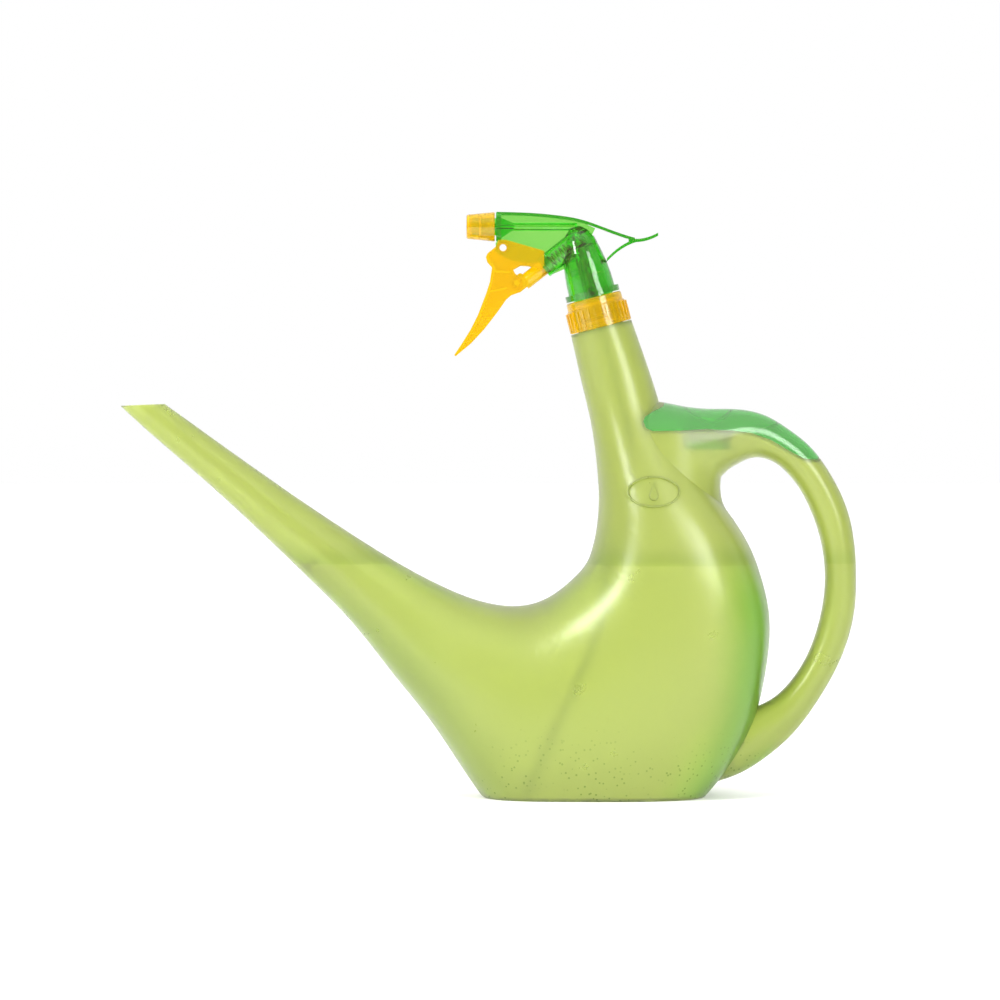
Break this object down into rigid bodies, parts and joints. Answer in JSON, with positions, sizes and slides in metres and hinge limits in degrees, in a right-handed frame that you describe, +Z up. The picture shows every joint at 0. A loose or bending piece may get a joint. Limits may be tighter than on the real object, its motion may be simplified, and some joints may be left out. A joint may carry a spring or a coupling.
{
  "type": "watering can with trigger sprayer",
  "caption": "Blow-moulded watering can with a long curved spout, loop handle and hinged fill cap, and a trigger sprayer screwed on its tilted neck.",
  "frame": {"origin": "on the standing plane, midway along the overall length, in the mirror plane", "axes": "+Z up; +X from the spout towards the handle; +Y across the can"},
  "size_m": [0.4, 0.0944, 0.3178],
  "materials": {
    "can_plastic": "translucent, satin",
    "cap_plastic": "translucent, satin",
    "head_plastic": "translucent, glossy",
    "yellow_plastic": "translucent, glossy",
    "clear_plastic": "natural polyethylene, satin",
    "soft_seal": "matte",
    "spring_steel": "drawn wire",
    "ball_steel": "polished"
  },
  "bodies": {
    "can": {"vessel": "can_plastic", "cap_strap": "cap_plastic"},
    "lid": {"fill_cap": "cap_plastic"},
    "head": {"pump_body": "head_plastic", "tube_insert": "clear_plastic", "neck_gasket": "soft_seal", "dip_tube": "clear_plastic", "swirl_insert": "clear_plastic", "return_spring": "spring_steel", "outlet_spring": "spring_steel"},
    "collar": {"collar_nut": "yellow_plastic"},
    "trigger": {"trigger": "yellow_plastic"},
    "plunger": {"piston": "yellow_plastic", "piston_seal": "soft_seal"},
    "inlet_valve": {"inlet_ball": "ball_steel"},
    "outlet_valve": {"outlet_ball": "ball_steel"},
    "nozzle_carrier": {"nozzle_seal": "soft_seal"},
    "nozzle": {"nozzle_cap": "yellow_plastic"}
  },
  "joints": [
    {"name": "lid_hinge", "type": "hinge", "parent": "can", "child": "lid", "pos_m": [0.1573, 0, 0.2036], "axis": [0, 1, 0], "range_deg": [0, 105]},
    {"name": "head_lift", "type": "slide", "parent": "can", "child": "head", "axis": [-0.2504, 0, 0.9681], "range_m": [0, 0.00795]},
    {"name": "collar_turn", "type": "hinge", "parent": "head", "child": "collar", "pos_m": [0.0612, 0, 0.2552], "axis": [-0.2504, 0, 0.9681], "range_deg": [0, 900]},
    {"name": "trigger_pull", "type": "hinge", "parent": "head", "child": "trigger", "pos_m": [0.0079, 0, 0.2984], "axis": [0, -1, 0], "range_deg": [0, 22], "stiffness_Nm_per_rad": 0.08, "springref_deg": -8.59},
    {"name": "piston_stroke", "type": "slide", "parent": "head", "child": "plunger", "axis": [0.788, 0, 0.6157], "range_m": [0, 0.0078], "deforming": ["return_spring"]},
    {"name": "inlet_ball_lift", "type": "slide", "parent": "head", "child": "inlet_valve", "axis": [-0.2504, 0, 0.9681], "range_m": [0, 0.0018]},
    {"name": "outlet_ball_lift", "type": "slide", "parent": "head", "child": "outlet_valve", "axis": [-1, 0, 0], "range_m": [0, 0.001], "stiffness_N_per_m": 20, "springref_m": -0.0005, "deforming": ["outlet_spring"]},
    {"name": "nozzle_travel", "type": "slide", "parent": "head", "child": "nozzle_carrier", "axis": [-1, 0, 0], "range_m": [0, 0.00161]},
    {"name": "nozzle_turn", "type": "hinge", "parent": "nozzle_carrier", "child": "nozzle", "pos_m": [0, 0, 0.3098], "axis": [-1, 0, 0], "range_deg": [0, 360]}
  ],
  "couplings": [
    {"joint": "head_lift", "follows": "collar_turn", "m_per_rad": 0.00050532},
    {"joint": "piston_stroke", "follows": "trigger_pull", "m_per_rad": 0.02026},
    {"joint": "nozzle_travel", "follows": "nozzle_turn", "m_per_rad": 0.00025465}
  ]
}
